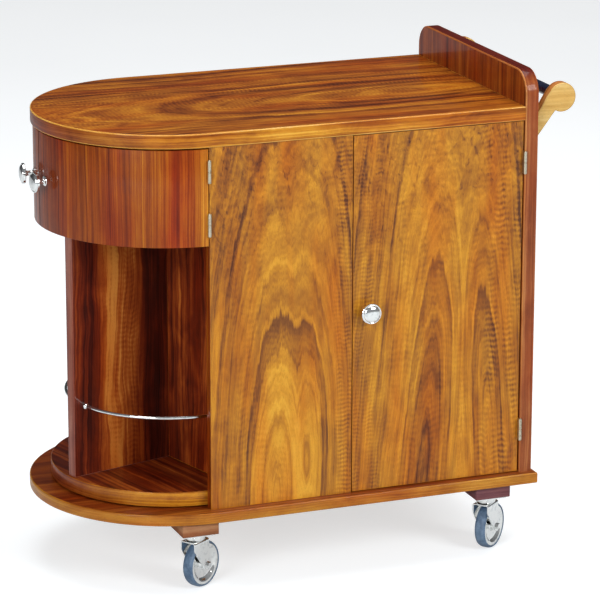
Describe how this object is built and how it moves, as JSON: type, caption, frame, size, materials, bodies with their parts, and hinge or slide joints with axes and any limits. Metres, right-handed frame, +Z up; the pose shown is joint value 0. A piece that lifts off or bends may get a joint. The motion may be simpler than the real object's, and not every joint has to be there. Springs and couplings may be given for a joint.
{
  "type": "hostess trolley",
  "caption": "Round-ended wooden hostess trolley on casters, with a hinged cupboard, a curved two-door drum, an open turning bottle carousel and a push handle.",
  "frame": {"origin": "on the floor, under the middle of the outline", "axes": "+X from the round end to the handle, +Y to the plain back, +Z up"},
  "size_m": [0.9088, 0.504, 0.848],
  "materials": {
    "figured_walnut": "high-gloss clear lacquer over figured veneer",
    "top_walnut": "high-gloss clear lacquer over straight veneer",
    "striped_walnut": "high-gloss clear lacquer over striped veneer",
    "red_walnut": "high-gloss clear lacquer",
    "dark_walnut": "high-gloss clear lacquer",
    "inner_walnut": "satin lacquer",
    "pale_ash": "satin lacquer",
    "block_wood": "satin lacquer",
    "navy_lacquer": "gloss navy lacquer on a wooden bar",
    "chrome": "polished",
    "nickel": "nickel plated, worn",
    "bush_brass": "plain turned",
    "washer_fibre": "matt fibre",
    "grey_tyre": "matt blue-grey rubber"
  },
  "bodies": {
    "cabinet": {"base_board": "red_walnut", "top_board": "top_walnut", "end_panel": "red_walnut", "front_panel": "figured_walnut", "back_panel": "figured_walnut", "partition": "inner_walnut", "drum_floor": "inner_walnut", "cupboard_shelf": "inner_walnut", "shelf_pegs": "nickel", "caster_blocks": "block_wood", "caster_plates": "chrome", "caster_screws": "nickel", "front_handle_arm": "pale_ash", "back_handle_arm": "pale_ash", "handle_bar": "navy_lacquer", "handle_screws": "nickel", "cupboard_hinge_frame_leaves": "nickel", "front_drum_hinge_frame_leaves": "nickel", "back_drum_hinge_frame_leaves": "nickel", "hinge_pins": "nickel", "cupboard_catch": "nickel", "drum_catches": "nickel", "turntable_spindle": "nickel", "thrust_washer": "washer_fibre", "top_pivot_bush": "bush_brass"},
    "cupboard_door": {"cupboard_door": "figured_walnut", "cupboard_knob": "chrome", "cupboard_hinge_door_leaves": "nickel"},
    "front_drum_door": {"front_drum_door": "striped_walnut", "front_drum_knob": "chrome", "front_drum_hinge_door_leaves": "nickel"},
    "back_drum_door": {"back_drum_door": "striped_walnut", "back_drum_knob": "chrome", "back_drum_hinge_door_leaves": "nickel"},
    "carousel": {"turntable": "red_walnut", "divider": "dark_walnut", "front_wing": "dark_walnut", "back_wing": "dark_walnut", "inner_gallery_rail": "chrome", "back_gallery_rail": "chrome", "left_gallery_rail": "chrome", "front_gallery_rail": "chrome", "top_pivot_pin": "nickel"},
    "front_left_caster": {"front_left_fork": "chrome", "front_left_axle": "chrome"},
    "front_left_wheel": {"front_left_wheel": "chrome", "front_left_tyre": "grey_tyre"},
    "front_right_caster": {"front_right_fork": "chrome", "front_right_axle": "chrome"},
    "front_right_wheel": {"front_right_wheel": "chrome", "front_right_tyre": "grey_tyre"},
    "back_left_caster": {"back_left_fork": "chrome", "back_left_axle": "chrome"},
    "back_left_wheel": {"back_left_wheel": "chrome", "back_left_tyre": "grey_tyre"},
    "back_right_caster": {"back_right_fork": "chrome", "back_right_axle": "chrome"},
    "back_right_wheel": {"back_right_wheel": "chrome", "back_right_tyre": "grey_tyre"}
  },
  "joints": [
    {"name": "cupboard_door_hinge", "type": "hinge", "parent": "cabinet", "child": "cupboard_door", "pos_m": [0.35261, -0.2323, 0.455], "axis": [0, 0, 1], "range_deg": [0, 170]},
    {"name": "front_drum_door_hinge", "type": "hinge", "parent": "cabinet", "child": "front_drum_door", "pos_m": [-0.20939, -0.2283, 0.682], "axis": [0, 0, 1], "range_deg": [0, 115]},
    {"name": "back_drum_door_hinge", "type": "hinge", "parent": "cabinet", "child": "back_drum_door", "pos_m": [-0.20939, 0.2303, 0.682], "axis": [0, 0, 1], "range_deg": [-115, 0]},
    {"name": "carousel_turn", "type": "hinge", "parent": "cabinet", "child": "carousel", "pos_m": [-0.20264, 0.001, 0.147], "axis": [0, 0, 1], "continuous": true},
    {"name": "front_left_swivel", "type": "hinge", "parent": "cabinet", "child": "front_left_caster", "pos_m": [-0.22964, -0.201, 0.088], "axis": [0, 0, 1], "continuous": true},
    {"name": "front_left_roll", "type": "hinge", "parent": "front_left_caster", "child": "front_left_wheel", "pos_m": [-0.2155, -0.19157, 0.04], "axis": [-0.5548, 0.832, 0], "continuous": true},
    {"name": "front_right_swivel", "type": "hinge", "parent": "cabinet", "child": "front_right_caster", "pos_m": [0.30435, -0.201, 0.088], "axis": [0, 0, 1], "continuous": true},
    {"name": "front_right_roll", "type": "hinge", "parent": "front_right_caster", "child": "front_right_wheel", "pos_m": [0.31749, -0.19021, 0.04], "axis": [-0.6347, 0.7727, 0], "continuous": true},
    {"name": "back_left_swivel", "type": "hinge", "parent": "cabinet", "child": "back_left_caster", "pos_m": [-0.22964, 0.203, 0.088], "axis": [0, 0, 1], "continuous": true},
    {"name": "back_left_roll", "type": "hinge", "parent": "back_left_caster", "child": "back_left_wheel", "pos_m": [-0.21348, 0.20825, 0.04], "axis": [-0.309, 0.9511, 0], "continuous": true},
    {"name": "back_right_swivel", "type": "hinge", "parent": "cabinet", "child": "back_right_caster", "pos_m": [0.30435, 0.203, 0.088], "axis": [0, 0, 1], "continuous": true},
    {"name": "back_right_roll", "type": "hinge", "parent": "back_right_caster", "child": "back_right_wheel", "pos_m": [0.31482, 0.21639, 0.04], "axis": [-0.788, 0.6157, 0], "continuous": true}
  ]
}
